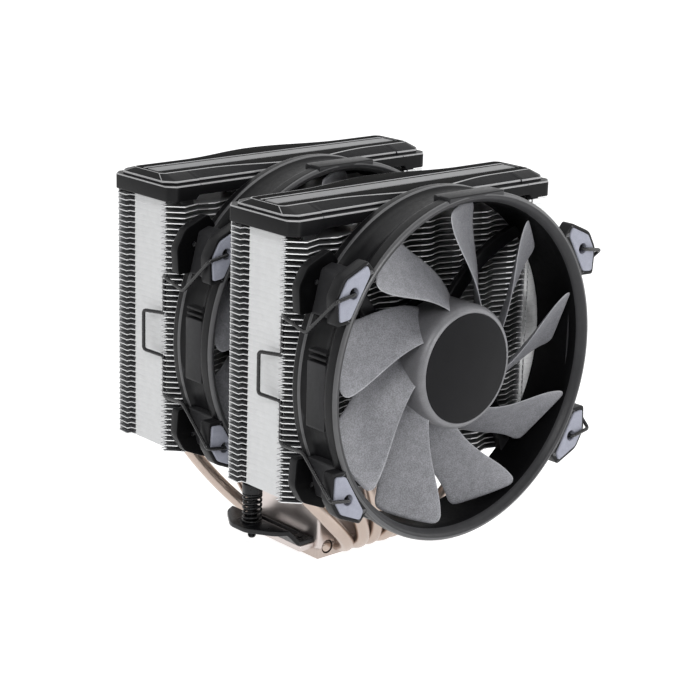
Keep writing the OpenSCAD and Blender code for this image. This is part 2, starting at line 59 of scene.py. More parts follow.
# ------------------------------------------------------------------ materials
def pbr(name, col, metal=0.0, rough=0.5, var=0.10, ns=350.0, rv=0.08, bump=0.05, bs=1800.0,
        spec=0.5, edge_highlight=0.0, edge_highlight_col=(0.5, 0.5, 0.5), stretch=(1, 1, 1), coat=0.0, coat_rough=0.25,
        speck=0.0, ss=2600.0, aniso=0.0, sheen=0.0):
    m = bpy.data.materials.new(name)
    m.use_nodes = True
    nt = m.node_tree
    N, L = nt.nodes, nt.links
    b = [n for n in N if n.type == "BSDF_PRINCIPLED"][0]
    b.inputs["Metallic"].default_value = metal
    b.inputs["Specular IOR Level"].default_value = spec
    b.inputs["Coat Weight"].default_value = coat
    b.inputs["Coat Roughness"].default_value = coat_rough
    b.inputs["Anisotropic"].default_value = aniso
    b.inputs["Sheen Weight"].default_value = sheen
    tc = N.new("ShaderNodeTexCoord")
    mp = N.new("ShaderNodeMapping")
    mp.inputs["Scale"].default_value = stretch
    L.new(tc.outputs["Object"], mp.inputs["Vector"])

    def noise(scale, detail=4.0, rgh=0.55, stretched=True):
        n = N.new("ShaderNodeTexNoise")
        n.inputs["Scale"].default_value = scale
        n.inputs["Detail"].default_value = detail
        n.inputs["Roughness"].default_value = rgh
        L.new(mp.outputs["Vector"] if stretched else tc.outputs["Object"], n.inputs["Vector"])
        return n

    def ramp(src, p0, c0, p1, c1):
        r = N.new("ShaderNodeValToRGB")
        r.color_ramp.elements[0].position = p0
        r.color_ramp.elements[0].color = (*c0, 1)
        r.color_ramp.elements[1].position = p1
        r.color_ramp.elements[1].color = (*c1, 1)
        L.new(src, r.inputs["Fac"])
        return r

    def mix(kind, a, c, fac=None, value=1.0):
        x = N.new("ShaderNodeMix")
        x.data_type = "RGBA"
        x.blend_type = kind
        x.inputs[0].default_value = value
        if fac is not None:
            L.new(fac, x.inputs[0])
        L.new(a, x.inputs[6])
        L.new(c, x.inputs[7])
        return x.outputs[2]

    lo = tuple(max(0.0, c * (1 - var)) for c in col)
    hi = tuple(min(1.0, c * (1 + var)) for c in col)
    out = ramp(noise(ns, 5).outputs["Fac"], 0.32, lo, 0.68, hi).outputs["Color"]
    if speck:
        g0, g1 = 1 - speck, 1.0
        s = ramp(noise(ss, 2, 0.6, False).outputs["Fac"], 0.38, (g0,) * 3, 0.62, (g1,) * 3)
        out = mix("MULTIPLY", out, s.outputs["Color"])
    # Painted highlight: a lighter colour is mixed in where the surface is pointy (sharp convex edges), standing in for
    # the bright highlight lines along rounded edges.
    if edge_highlight:
        g = N.new("ShaderNodeNewGeometry")
        w = ramp(g.outputs["Pointiness"], 0.52, (0, 0, 0), 0.62, (edge_highlight,) * 3)
        e = ramp(noise(ns * 1.7, 3).outputs["Fac"], 0.3, tuple(c * 0.8 for c in edge_highlight_col), 0.7, edge_highlight_col)
        out = mix("MIX", out, e.outputs["Color"], fac=w.outputs["Color"])
    L.new(out, b.inputs["Base Color"])
    mr = N.new("ShaderNodeMapRange")
    mr.inputs["From Min"].default_value = 0.3
    mr.inputs["From Max"].default_value = 0.7
    mr.inputs["To Min"].default_value = max(0.03, rough - rv)
    mr.inputs["To Max"].default_value = min(1.0, rough + rv)
    L.new(noise(ns * 2.3, 4).outputs["Fac"], mr.inputs["Value"])
    L.new(mr.outputs["Result"], b.inputs["Roughness"])
    if bump:
        bp = N.new("ShaderNodeBump")
        bp.inputs["Strength"].default_value = min(1.0, bump * 4)
        bp.inputs["Distance"].default_value = 0.0001
        L.new(noise(bs, 3).outputs["Fac"], bp.inputs["Height"])
        L.new(bp.outputs["Normal"], b.inputs["Normal"])
    return m


# The edge highlight amounts and colours given to the cover, steel, frame and blade materials below are painted
# highlights along their edges.
M = {
    "fin_edge": pbr("fin_edge_bright", (0.94, 0.945, 0.95), 0.10, 0.36, 0.03, 300, 0.06, 0.02, 900, speck=0.04),
    # Painted shade: the tab side walls get a darker copy of the fin colour to hold down the brightly lit left side.
    "fin_wall": pbr("fin_wall_painted_shade", (0.60, 0.605, 0.61), 0.15, 0.44, 0.03, 300, 0.04, 0.02, 900, speck=0.05),
    # Painted shade: a dimmer copy of the fin edge colour for the edges near the zigzag valleys, between the bright
    # peak dashes.
    "fin_shade": pbr("fin_edge_painted_shade", (0.42, 0.424, 0.43), 0.2, 0.42, 0.05, 300, 0.05, 0.02, 900, speck=0.1),
    "fin_flat": pbr("fin_sheet_rolled", (0.40, 0.405, 0.415), 0.85, 0.40, 0.08, 260, 0.06, 0.04, 700, stretch=(1, 6, 1)),
    "pipe": pbr("pipe_nickel", (0.52, 0.43, 0.375), 1.0, 0.30, 0.04, 120, 0.02, 0.008, 1500),
    "plate": pbr("plate_nickel", (0.50, 0.425, 0.385), 1.0, 0.34, 0.03, 120, 0.02, 0.008, 1400, stretch=(1, 8, 1)),
    "block": pbr("block_nickel", (0.66, 0.595, 0.57), 1.0, 0.34, 0.02, 100, 0.02, 0.006, 1200),
    "cover": pbr("cover_satin_black", (0.0050, 0.0050, 0.0056), 0.0, 0.36, 0.12, 320, 0.05, 0.04, 3200, spec=0.10, edge_highlight=0.35, edge_highlight_col=(0.16, 0.16, 0.165)),
    "panel": pbr("cover_panel_satin", (0.007, 0.007, 0.008), 0.0, 0.46, 0.10, 320, 0.05, 0.05, 3800, spec=0.07),
    # Painted highlight: a light grey for the narrow bevel strips of the cover, standing in for the thin highlight
    # lines along its edges.
    "cover_edge": pbr("cover_edge_painted_highlight", (0.30, 0.30, 0.305), 0.0, 0.30, 0.06, 320, 0.03, 0.02, 2400, spec=0.5),
    # Painted highlight: a lighter copy of the frame black for the narrow strips on the rim's outer edge, standing in
    # for its thin light outer line.
    "rim_edge": pbr("frame_edge_painted_highlight", (0.075, 0.075, 0.078), 0.0, 0.32, 0.08, 320, 0.03, 0.02, 2400, spec=0.42),
    "strip": pbr("strip_brushed", (0.20, 0.201, 0.206), 0.4, 0.42, 0.08, 220, 0.05, 0.05, 900, stretch=(1, 30, 30), spec=0.4),
    "groove": pbr("groove_black", (0.004, 0.004, 0.004), 0.0, 0.7, 0.1, 300, 0.05, 0.04, 2500, spec=0.03),
    "steel": pbr("steel_black_coat", (0.006, 0.006, 0.007), 0.0, 0.32, 0.12, 300, 0.06, 0.03, 1500, spec=0.30, edge_highlight=0.3, edge_highlight_col=(0.14, 0.14, 0.15)),
    "spring": pbr("spring_black_oxide", (0.007, 0.007, 0.008), 0.1, 0.30, 0.12, 500, 0.06, 0.03, 2500, spec=0.40),
    "frame": pbr("frame_moulded_black", (0.0065, 0.0065, 0.0072), 0.0, 0.38, 0.14, 300, 0.06, 0.07, 2600, spec=0.15, edge_highlight=0.25, edge_highlight_col=(0.09, 0.09, 0.095), speck=0.12),
    # Painted shade: a darker copy of the frame black for the inner duct wall and the faces in the recess behind the
    # front ears, where shade falls.
    "frame_dark": pbr("frame_recess_painted_shade", (0.0030, 0.0030, 0.0033), 0.0, 0.50, 0.12, 300, 0.05, 0.05, 2600, spec=0.05),
    "rim": pbr("frame_rim_satin", (0.030, 0.030, 0.032), 0.0, 0.38, 0.08, 260, 0.04, 0.04, 2400, spec=0.22),
    "pad": pbr("pad_rubber_grey", (0.29, 0.30, 0.355), 0.0, 0.72, 0.07, 420, 0.06, 0.12, 2200, spec=0.25, speck=0.10),
    "blade": pbr("blade_grained_grey", (0.25, 0.252, 0.272), 0.10, 0.42, 0.12, 300, 0.06, 0.20, 2400, spec=0.5, speck=0.38, ss=2100, edge_highlight=0.5, edge_highlight_col=(0.62, 0.63, 0.65)),
    "hub": pbr("hub_grained_grey", (0.165, 0.165, 0.175), 0.10, 0.40, 0.08, 300, 0.05, 0.08, 2400, spec=0.45, speck=0.15),
    "label": pbr("label_film_black", (0.005, 0.005, 0.006), 0.0, 0.36, 0.10, 150, 0.04, 0.01, 1800, spec=0.10),
    "shaft": pbr("shaft_ground_steel", (0.60, 0.61, 0.63), 1.0, 0.22, 0.06, 300, 0.05, 0.05, 900, stretch=(1, 12, 1)),
    "bronze": pbr("bearing_sintered", (0.50, 0.34, 0.17), 0.9, 0.45, 0.14, 900, 0.10, 0.12, 3500, speck=0.2),
    "yoke": pbr("yoke_pressed_steel", (0.46, 0.47, 0.49), 1.0, 0.34, 0.08, 260, 0.08, 0.05, 1100),
    "magnet": pbr("magnet_bonded_ferrite", (0.05, 0.045, 0.045), 0.0, 0.68, 0.15, 700, 0.08, 0.12, 3000, spec=0.4, speck=0.2),
    "core": pbr("core_laminated_steel", (0.42, 0.43, 0.45), 0.95, 0.40, 0.15, 90, 0.08, 0.15, 900, stretch=(1, 40, 1)),
    "coil": pbr("coil_enamelled_copper", (0.60, 0.24, 0.08), 0.85, 0.30, 0.15, 200, 0.06, 0.25, 800, stretch=(1, 14, 1)),
    "board": pbr("board_solder_resist", (0.015, 0.11, 0.045), 0.0, 0.35, 0.15, 500, 0.06, 0.06, 2500, spec=0.5),
    "clip": pbr("clip_black_coated", (0.009, 0.009, 0.010), 0.1, 0.26, 0.15, 500, 0.06, 0.03, 2500, spec=0.5),
}


# ------------------------------------------------------------------ mesh tools
class Mesh:
    """Vertices in millimetres, faces and their material numbers."""

    def __init__(self):
        self.v, self.f, self.m = [], [], []

    def add(self, part, mat=0, at=None):
        vs, fs = part
        o = len(self.v)
        self.v += [at(p) for p in vs] if at else list(vs)
        self.f += [tuple(i + o for i in f) for f in fs]
        self.m += [mat] * len(fs)
        return self


def make(name, mesh, mats, body, nodes=(), sharp=36.0, pick=None):
    me = bpy.data.meshes.new(name)
    me.from_pydata([(p[0] * MM, p[1] * MM, p[2] * MM) for p in mesh.v], [], mesh.f)
    for m in mats:
        me.materials.append(m)
    me.polygons.foreach_set("material_index", mesh.m)
    bm = bmesh.new()
    bm.from_mesh(me)
    bmesh.ops.remove_doubles(bm, verts=bm.verts, dist=1.5e-6)
    bmesh.ops.dissolve_degenerate(bm, edges=bm.edges, dist=1e-7)
    bmesh.ops.recalc_face_normals(bm, faces=bm.faces)
    bm.to_mesh(me)
    bm.free()
    if pick:
        for p in me.polygons:
            p.material_index = pick(p)
    me.shade_smooth()
    me.set_sharp_from_angle(angle=math.radians(sharp))
    ob = bpy.data.objects.new(name, me)
    bpy.context.scene.collection.objects.link(ob)
    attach(ob, body)
    if nodes:
        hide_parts(*nodes)
    return ob


def strip_size(p):
    """Width and length in millimetres of a narrow face, and how far its long edge runs along X (0 to 1)."""
    v = [p.id_data.vertices[i].co for i in p.vertices]
    e = max((a - b for a, b in zip(v, v[1:] + v[:1])), key=lambda q: q.length)
    return p.area / max(e.length, 1e-9) / MM, e.length / MM, abs(e.x) / max(e.length, 1e-9)


def bez2(a, b, c, t):
    return tuple((1 - t) ** 2 * x + 2 * t * (1 - t) * y + t * t * z for x, y, z in zip(a, b, c))


def bez3(a, b, c, d, t):
    return tuple((1 - t) ** 3 * p + 3 * (1 - t) ** 2 * t * q + 3 * (1 - t) * t * t * r + t ** 3 * s
                 for p, q, r, s in zip(a, b, c, d))


def corner(a, p, b, r, k):
    da = [x - y for x, y in zip(a, p)]
    db = [x - y for x, y in zip(b, p)]
    la = math.sqrt(sum(x * x for x in da)) or 1e-9
    lb = math.sqrt(sum(x * x for x in db)) or 1e-9
    ra, rb = min(r, la * 0.48), min(r, lb * 0.48)
    A = tuple(x + y / la * ra for x, y in zip(p, da))
    B = tuple(x + y / lb * rb for x, y in zip(p, db))
    return [bez2(A, p, B, j / k) for j in range(k + 1)]


def rounded(poly, r, k=4):
    n = len(poly)
    out = []
    for i in range(n):
        ri = r[i] if isinstance(r, (list, tuple)) else r
        if ri <= 0:
            out.append(tuple(poly[i]))
        else:
            out += corner(poly[i - 1], poly[i], poly[(i + 1) % n], ri, k)
    return out


def rounded_open(path, r, k=4):
    out = [tuple(path[0])]
    for i in range(1, len(path) - 1):
        ri = r[i] if isinstance(r, (list, tuple)) else r
        out += corner(path[i - 1], path[i], path[i + 1], ri, k) if ri > 0 else [tuple(path[i])]
    return out + [tuple(path[-1])]


def ccw(poly):
    a = sum(poly[i - 1][0] * poly[i][1] - poly[i][0] * poly[i - 1][1] for i in range(len(poly)))
    return list(poly) if a > 0 else list(reversed(poly))


def inset(poly, d):
    if abs(d) < 1e-9:
        return list(poly)
    n = len(poly)
    out = []
    for i in range(n):
        a, p, b = Vector(poly[i - 1]), Vector(poly[i]), Vector(poly[(i + 1) % n])
        e1, e2 = (p - a).normalized(), (b - p).normalized()
        n1, n2 = Vector((-e1.y, e1.x)), Vector((-e2.y, e2.x))
        q = p + (n1 + n2) * (d / max(0.45, 1 + n1.dot(n2)))
        out.append((q.x, q.y))
    return out


def circle(r, n=64, c=(0, 0), a0=0.0):
    return [(c[0] + r * math.cos(a0 + 2 * math.pi * i / n), c[1] + r * math.sin(a0 + 2 * math.pi * i / n)) for i in range(n)]


def rect(x0, y0, x1, y1):
    return [(x0, y0), (x1, y0), (x1, y1), (x0, y1)]


def shell(outer, z0, z1, b0=0.3, b1=None, holes=(), pocket=None, bh=0.12, steps=3):
    """A plate with rounded edges. holes go through; pocket is (outline, depth) at the z0 side, with the holes inside it."""
    b1 = b0 if b1 is None else b1
    outer = ccw(outer)
    holes = [ccw(h) for h in holes]
    vs, fs = [], []

    def ring(poly, z):
        o = len(vs)
        vs.extend((x, y, z) for x, y in poly)
        return [o + i for i in range(len(poly))]

    def wall(seq):
        for a, c in zip(seq, seq[1:]):
            n = len(a)
            for i in range(n):
                j = (i + 1) % n
                fs.append((a[i], a[j], c[j], c[i]))

    def cap(rings):
        flat = [i for r in rings for i in r]
        for t in tessellate_polygon([[Vector((vs[i][0], vs[i][1], 0)) for i in r] for r in rings]):
            fs.append(tuple(flat[i] for i in t))

    def edge(poly, za, zb, ba, bb, sign):
        seq = []
        for k in range(steps + 1 if ba > 0 else 1):
            t = math.pi / 2 * k / steps if ba > 0 else math.pi / 2
            seq.append(ring(inset(poly, sign * ba * (1 - math.sin(t))), za + ba * (1 - math.cos(t)) if ba > 0 else za))
        for k in range(steps + 1 if bb > 0 else 1):
            t = math.pi / 2 * (1 - k / steps) if bb > 0 else math.pi / 2
            seq.append(ring(inset(poly, sign * bb * (1 - math.sin(t))), zb - bb * (1 - math.cos(t)) if bb > 0 else zb))
        wall(seq)
        return seq[0], seq[-1]

    o0, o1 = edge(outer, z0, z1, b0, b1, 1)
    if pocket:
        pl = ccw(pocket[0])
        zf = z0 + pocket[1]
        p0, pf = edge(pl, z0, zf, bh, 0, -1)
        cap([o0, p0])
        inner = [edge(h, zf, z1, 0, bh, -1) for h in holes]
        cap([pf] + [a for a, _ in inner])
    else:
        inner = [edge(h, z0, z1, bh, bh, -1) for h in holes]
        cap([o0] + [a for a, _ in inner])
    cap([o1] + [c for _, c in inner])
    return vs, fs


def lathe(profile, n=96, closed=True):
    vs, fs = [], []
    m = len(profile)
    cs = [(math.cos(2 * math.pi * i / n), math.sin(2 * math.pi * i / n)) for i in range(n)]
    for r, s in profile:
        vs.extend((r * c, r * q, s) for c, q in cs)
    for k in range(m if closed else m - 1):
        k2 = (k + 1) % m
        for i in range(n):
            j = (i + 1) % n
            fs.append((k * n + i, k * n + j, k2 * n + j, k2 * n + i))
    if not closed:
        fs.append(tuple(range(n)))
        fs.append(tuple((m - 1) * n + i for i in reversed(range(n))))
    return vs, fs


def loft(loops, cap0=True, cap1=True):
    vs = [p for lp in loops for p in lp]
    n = len(loops[0])
    fs = []
    for k in range(len(loops) - 1):
        for i in range(n):
            j = (i + 1) % n
            fs.append((k * n + i, k * n + j, (k + 1) * n + j, (k + 1) * n + i))
    if cap0:
        fs.append(tuple(range(n)))
    if cap1:
        fs.append(tuple((len(loops) - 1) * n + i for i in reversed(range(n))))
    return vs, fs


def tube(path, radius, n=16, dome=(True, True), dome_len=1.0, steps=5):
    """A round tube along path with rounded ends. radius may be a list."""
    P = [Vector(p) for p in path]
    Q = [P[0]]
    rad = radius if isinstance(radius, (list, tuple)) else [radius] * len(P)
    RR = [rad[0]]
    for p, r in zip(P[1:], rad[1:]):
        if (p - Q[-1]).length > 1e-5:
            Q.append(p)
            RR.append(r)
    m = len(Q)
    T = []
    for i in range(m):
        t = Vector((0, 0, 0))
        if i:
            t += (Q[i] - Q[i - 1]).normalized()
        if i < m - 1:
            t += (Q[i + 1] - Q[i]).normalized()
        T.append(t.normalized())
    ref = Vector((0.9, 0.31, 0.27))
    u = (ref - T[0] * ref.dot(T[0])).normalized()
    rings = []
    frames = []
    for i in range(m):
        u = (u - T[i] * u.dot(T[i])).normalized()
        frames.append((u.copy(), T[i].cross(u)))
    def ring(c, r, fr):
        return [tuple(c + fr[0] * (r * math.cos(2 * math.pi * k / n)) + fr[1] * (r * math.sin(2 * math.pi * k / n))) for k in range(n)]
    if dome[0]:
        for k in range(steps):
            a = math.pi / 2 * (1 - (k + 0.35) / (steps + 0.35))
            rings.append(ring(Q[0] - T[0] * (RR[0] * dome_len * math.sin(a)), RR[0] * math.cos(a), frames[0]))
    for i in range(m):
        rings.append(ring(Q[i], RR[i], frames[i]))
    if dome[1]:
        for k in range(steps - 1, -1, -1):
            a = math.pi / 2 * (1 - (k + 0.35) / (steps + 0.35))
            rings.append(ring(Q[-1] + T[-1] * (RR[-1] * dome_len * math.sin(a)), RR[-1] * math.cos(a), frames[-1]))
    return loft(rings)


def mirrored(part, sx=1, sy=1):
    vs, fs = part
    return [(p[0] * sx, p[1] * sy, p[2]) for p in vs], fs


def shift(dx=0.0, dy=0.0, dz=0.0):
    return lambda p: (p[0] + dx, p[1] + dy, p[2] + dz)


# ------------------------------------------------------------------ camera, light and floor
cam_data = bpy.data.cameras.new("photo_camera")
cam = bpy.data.objects.new("photo_camera", cam_data)
bpy.context.scene.collection.objects.link(cam)
rr = (0.74639068, -0.66490578, 0.02830637)
uu = (0.16648073, 0.22772619, 0.9593878)
bk = (-0.64434859, -0.71136565, 0.28066671)
cp = (-0.513879, -0.580347, 0.309122)
cam.matrix_world = Matrix(((rr[0], uu[0], bk[0], cp[0]), (rr[1], uu[1], bk[1], cp[1]), (rr[2], uu[2], bk[2], cp[2]), (0, 0, 0, 1)))
cam_data.sensor_width = 36.0
cam_data.lens = 1900.8 * 36.0 / 700.0
cam_data.clip_start = 0.01
bpy.context.scene.camera = cam
bpy.context.scene.view_settings.view_transform = "Standard"

world = bpy.data.worlds.new("studio")
bpy.context.scene.world = world
world.use_nodes = True
wn, wl = world.node_tree.nodes, world.node_tree.links
bg = [n for n in wn if n.type == "BACKGROUND"][0]
tc = wn.new("ShaderNodeTexCoord")
dot = wn.new("ShaderNodeVectorMath")
dot.operation = "DOT_PRODUCT"
dot.inputs[1].default_value = (-0.62, -0.70, 0.12)
wl.new(tc.outputs["Generated"], dot.inputs[0])
wr = wn.new("ShaderNodeMapRange")
wr.inputs["From Min"].default_value = -0.25
wr.inputs["From Max"].default_value = 0.75
wr.inputs["To Min"].default_value = 1.0
wr.inputs["To Max"].default_value = 0.06
wl.new(dot.outputs["Value"], wr.inputs["Value"])
wc = wn.new("ShaderNodeCombineColor")
for ch in ("Red", "Green", "Blue"):
    wl.new(wr.outputs["Result"], wc.inputs[ch])
wl.new(wc.outputs["Color"], bg.inputs["Color"])
bg.inputs["Strength"].default_value = 1.0


def area(name, loc, target, size, watts, size_y=None):
    d = bpy.data.lights.new(name, "AREA")
    d.energy = watts
    d.shape = "RECTANGLE"
    d.size = size
    d.size_y = size_y or size
    o = bpy.data.objects.new(name, d)
    bpy.context.scene.collection.objects.link(o)
    o.location = loc
    o.rotation_euler = (Vector(target) - Vector(loc)).to_track_quat("-Z", "Y").to_euler()
    return o


area("key_soft", (-0.70, -0.62, 0.72), (0, -0.02, 0.09), 0.36, 4.0)
area("left_soft", (-0.95, 0.05, 0.35), (-0.05, 0, 0.09), 0.7, 1.1)
area("top_soft", (0.1, 0.0, 0.95), (0, 0, 0.1), 0.8, 2.4)
area("front_soft", (0.15, -1.05, 0.30), (0, -0.05, 0.10), 0.22, 3.4)
area("right_soft", (0.8, -0.55, 0.35), (0, -0.03, 0.09), 0.5, 1.6)

fm = bpy.data.meshes.new("floor")
bm = bmesh.new()
bmesh.ops.create_grid(bm, x_segments=2, y_segments=2, size=4.0)
bm.to_mesh(fm)
bm.free()
floor = bpy.data.objects.new("floor", fm)
bpy.context.scene.collection.objects.link(floor)
floor.location = (0, 0, -0.0002)
floor_mat = pbr("floor_pale", (0.45, 0.45, 0.45), 0.0, 0.9, 0.004, 6, 0.02, 0.0, 40, spec=0.1)
fl_b = [n for n in floor_mat.node_tree.nodes if n.type == "BSDF_PRINCIPLED"][0]
fl_b.inputs["Emission Color"].default_value = (1, 1, 1, 1)
fl_b.inputs["Emission Strength"].default_value = 0.86
fm.materials.append(floor_mat)


# ------------------------------------------------------------------ heat pipes
def xb(k):
    return (k - 4) * 6.25


def tower_x(j):
    return (j - 2.5) * 19.2


def stagger(j):
    return 4.0 if j % 2 == 0 else -4.0


def riser(x0, s, j):
    a = (x0, s * 23.0, 4.6)
    d = (tower_x(j), s * YT + stagger(j), 44.4)
    b = (a[0], a[1] + s * 20.0, a[2] + 2.0)
    c = (d[0] - 0.12 * (d[0] - x0), d[1], d[2] - 9.0)
    return [bez3(a, b, c, d, i / 44) for i in range(45)] + [(d[0], d[1], z) for z in (60, 80, 100, 120, 140, 152)]


for k in range(1, 8):
    if k == 1:
        path = [(xb(1), -22.4, 4.6), (xb(1), 0, 4.6)] + riser(xb(1), 1, 0)
        part = tube(path, 3.0, 28, dome_len=1.0)
        first = tube(path, [2.6] + [3.0] * (len(path) - 1), 28, dome_len=0.42)
        part = first
    elif k == 7:
        path = [(xb(7), 22.4, 4.6), (xb(7), 0, 4.6)] + riser(xb(7), -1, 5)
        part = tube(path, [2.6] + [3.0] * (len(path) - 1), 28, dome_len=0.42)
    else:
        path = list(reversed(riser(xb(k), -1, k - 2))) + riser(xb(k), 1, k - 1)
        part = tube(path, 3.0, 28)
    make("heat_pipe_%d_tube" % k, Mesh().add(part), [M["pipe"]], "cooler", ["heat_pipe_%d" % k], sharp=50)


# ------------------------------------------------------------------ fin stacks
def half_outline():
    t = 15.9
    out = []
    for i in range(4):
        out += [(i * t + 0.8, -HY), (i * t + 3.6, -HY + 0.94), (i * t + 7.95, -HY + 2.4), (i * t + 13.9, -HY + 0.768)]
    out += [(56.4, -HY), (67.6, -HY), (68.4, -19.6), (68.8, -13.1), (66.8, -13.0), (66.3, -10.6), (66.3, 10.7),
            (68.8, 10.8), (68.8, 11.2), (67.0, 11.3), (67.0, 12.95), (69.3, 13.05), (69.3, 14.6), (63.6, HY)]
    for i in (3, 2, 1, 0):
        out += [(i * t + 13.9, HY - 0.768), (i * t + 7.95, HY - 2.4), (i * t + 3.6, HY - 0.94), (i * t + 0.8, HY)]
    return out


def box_part(x0, y0, z0, x1, y1, z1):
    return loft([[(x0, y0, z0), (x1, y0, z0), (x1, y1, z0), (x0, y1, z0)], [(x0, y0, z1), (x1, y0, z1), (x1, y1, z1), (x0, y1, z1)]])


ho = half_outline()
sheet = Mesh()
sheet.add(shell(ho + [(-x, -y) for x, y in ho], 0, FIN_T, 0, holes=[circle(3.06, 24, (tower_x(j), stagger(j))) for j in range(6)], bh=0))
for j in range(6):
    col = [(3.06, 0.42), (3.5, 0.42), (3.3, 0.62), (3.26, 1.5), (3.06, 1.5)]
    sheet.add(lathe(col, 24), 0, shift(tower_x(j), stagger(j)))
TAB_TOP = FIN_PITCH - 0.05
for s in (1, -1):
    for x0, y0, x1, y1 in ((65.9, -10.6, 66.3, 10.5), (58.8, -HY, 67.6, -HY + 0.4), (56.6, -HY, 57.9, -HY + 0.4)):
        a = box_part(x0, y0, FIN_T, x1, y1, TAB_TOP)
        if x0 > 60:
            a = ([(p[0] - (0.28 if p[2] > 1 else 0.0), p[1], p[2]) for p in a[0]], a[1])
        sheet.add(([(s * p[0], s * p[1], p[2]) for p in a[0]], a[1]))
def fin_pick(s):
    def f(p):
        if abs(p.normal.z) > 0.9:
            return 1
        x, y = abs(p.center.x) / MM, p.center.y / MM - s * YT
        # Painted shade: the sideways-facing tab walls get the darker wall copy of the fin colour.
        if abs(p.normal.x) > 0.8 and x > 65.0:
            return 2
        # Painted shade: edges near the zigzag valleys get the dimmer copy, so only the peaks read as bright dashes.
        if abs(y) > 17.5 and x < 56.3 and min((x - 0.8) % 15.9, 15.9 - (x - 0.8) % 15.9) > 2.6:
            return 3
        return 0
    return f


for s, nm in ((-1, "front"), (1, "rear")):
    stack = Mesh()
    for i in range(FIN_N):
        stack.add((sheet.v, sheet.f), 0, shift(0, s * YT, FIN_Z0 + i * FIN_PITCH))
    make(nm + "_fin_sheets", stack, [M["fin_edge"], M["fin_flat"], M["fin_wall"], M["fin_shade"]], "cooler",
         [nm + "_fin_stack"], sharp=30, pick=fin_pick(s))


# ------------------------------------------------------------------ covers
def bow(x):
    return 7 * (1 + math.cos(math.pi * x / 44)) / 2 if abs(x) < 44 else 0.0


XS = sorted(set([round(-66 + 132 * i / 66, 3) for i in range(67)] + [s * v for s in (-1, 1) for v in (55.6, 55.9, 56.4, 57.4, 58.4)]))


def cover_loop(hx, hy, c, z, bowed=0.0, notch=0.0, pin=0.0, r=0.8):
    cs = [(-hx, -(hy - c)), (-hx + c, -hy), (hx - c, -hy), (hx, -(hy - c)), (hx, hy - c), (hx - c, hy), (-hx + c, hy), (-hx, hy - c)]
    k = (hx - c - r) / 67.0
    out = []
    for i in range(8):
        out += corner(cs[i - 1], cs[i], cs[(i + 1) % 8], r, 3)
        if i == 1:
            out += [(x * k, -hy) for x in XS]
        if i == 5:
            out += [(x * k, hy) for x in reversed(XS)]
    res = []
    for x, y in out:
        zz, ax = z, abs(x)
        long_side = abs(abs(y) - hy) < 1e-6 and ax < hx - c - r + 0.01
        if long_side:
            sg = 1 if y > 0 else -1
            y += sg * bowed * bow(x)
            if pin and ax < 55.75 * k:
                y -= sg * pin
            if notch:
                zz += notch * max(0.0, min(1.0, (58.0 * k - ax) / 1.2))
        res.append((x, y, zz))
    return res


def cover_mesh(s):
    levels = [cover_loop(69.3, 18.6, 3.0, 156.0), cover_loop(69.3, 18.6, 3.0, 151.0, notch=1.8), cover_loop(71, HY, 3.2, 151.0, notch=1.8),
              cover_loop(71, HY, 3.2, 157.4), cover_loop(70, 17.7, 4.0, 157.4, pin=0.45), cover_loop(70, 17.7, 4.0, 158.7, pin=0.45),
              cover_loop(67.6, 10.0, 1.6, 161.0, bowed=1.0), cover_loop(66.3, 4.9, 0.5, 161.0, r=0.2), cover_loop(66.3, 4.9, 0.5, 159.9, r=0.2)]
    rad = [0, 0.15, 0.4, 0.55, 0.15, 0.5, 0.38, 0.3, 0]
    cols = [rounded_open([lv[i] for lv in levels], rad, 3) for i in range(len(levels[0]))]
    loops = [list(lp) for lp in zip(*cols)]
    mesh = Mesh().add(loft(loops), 0, shift(0, s * YT))
    for sx in (-1, 1):
        for sy in (-1, 1):
            mesh.add(shell(rounded(rect(-3, -0.9, 3, 0.9), 0.3, 2), 148.82, 156.4, 0.15), 0, shift(sx * 61, s * YT + sy * 17.6))
    return mesh


def cover_pick(s):
    def f(p):
        c = p.center
        y = abs(c.y / MM - s * YT)
        z = c.z / MM
        w, ln, along = strip_size(p)
        # Painted highlight: narrow bevel strips on the upper cover get the light edge colour.
        if z > 157.0 and 0.09 < w < 0.36 and ln > 0.25 and abs(p.normal.z) < 0.999 and (along > 0.8 or abs(c.x) / MM > 64):
            return 3
        if z > 160.9 and abs(p.normal.z) > 0.995:
            return 2
        if z < 160.85 and abs(c.x) / MM < 66.4 and y < 5.1 and z > 159.0:
            return 2
        if abs(c.x) / MM < 55.4 and 157.6 < z < 160.9 and y > 9.5 and abs(p.normal.y) > 0.10:
            return 1
        return 0
    return f


for s, nm in ((-1, "front"), (1, "rear")):
    make(nm + "_cover_shell", cover_mesh(s), [M["cover"], M["panel"], M["groove"], M["cover_edge"]], "cooler", [nm + "_cover"], sharp=40, pick=cover_pick(s))
    st = shell(rounded(rect(-65, -3.6, 65, 3.6), 0.5, 3), 159.9, 160.8, 0.05, 0.25)
    make(nm + "_cover_inlay", Mesh().add(st, 0, shift(0, s * YT)), [M["strip"]], "cooler", [nm + "_cover_strip"])


# ------------------------------------------------------------------ base
def groove_profile(z_out, top):
    """Cross-section (x, z) with seven half-round pipe grooves along z = 4.6."""
    pts = []
    for k in range(7, 0, -1):
        x = xb(k)
        for i in range(13):
            a = math.pi * i / 12
            pts.append((x + 3.03 * math.cos(a), 4.6 + (3.03 if top else -3.03) * math.sin(a)))
    if top:
        return [(-24, 4.6), (-24, z_out - 0.0), (24, z_out - 0.0), (24, 4.6)] + pts
    return [(-24, 4.6), (-24, z_out), (24, z_out), (24, 4.6)] + pts


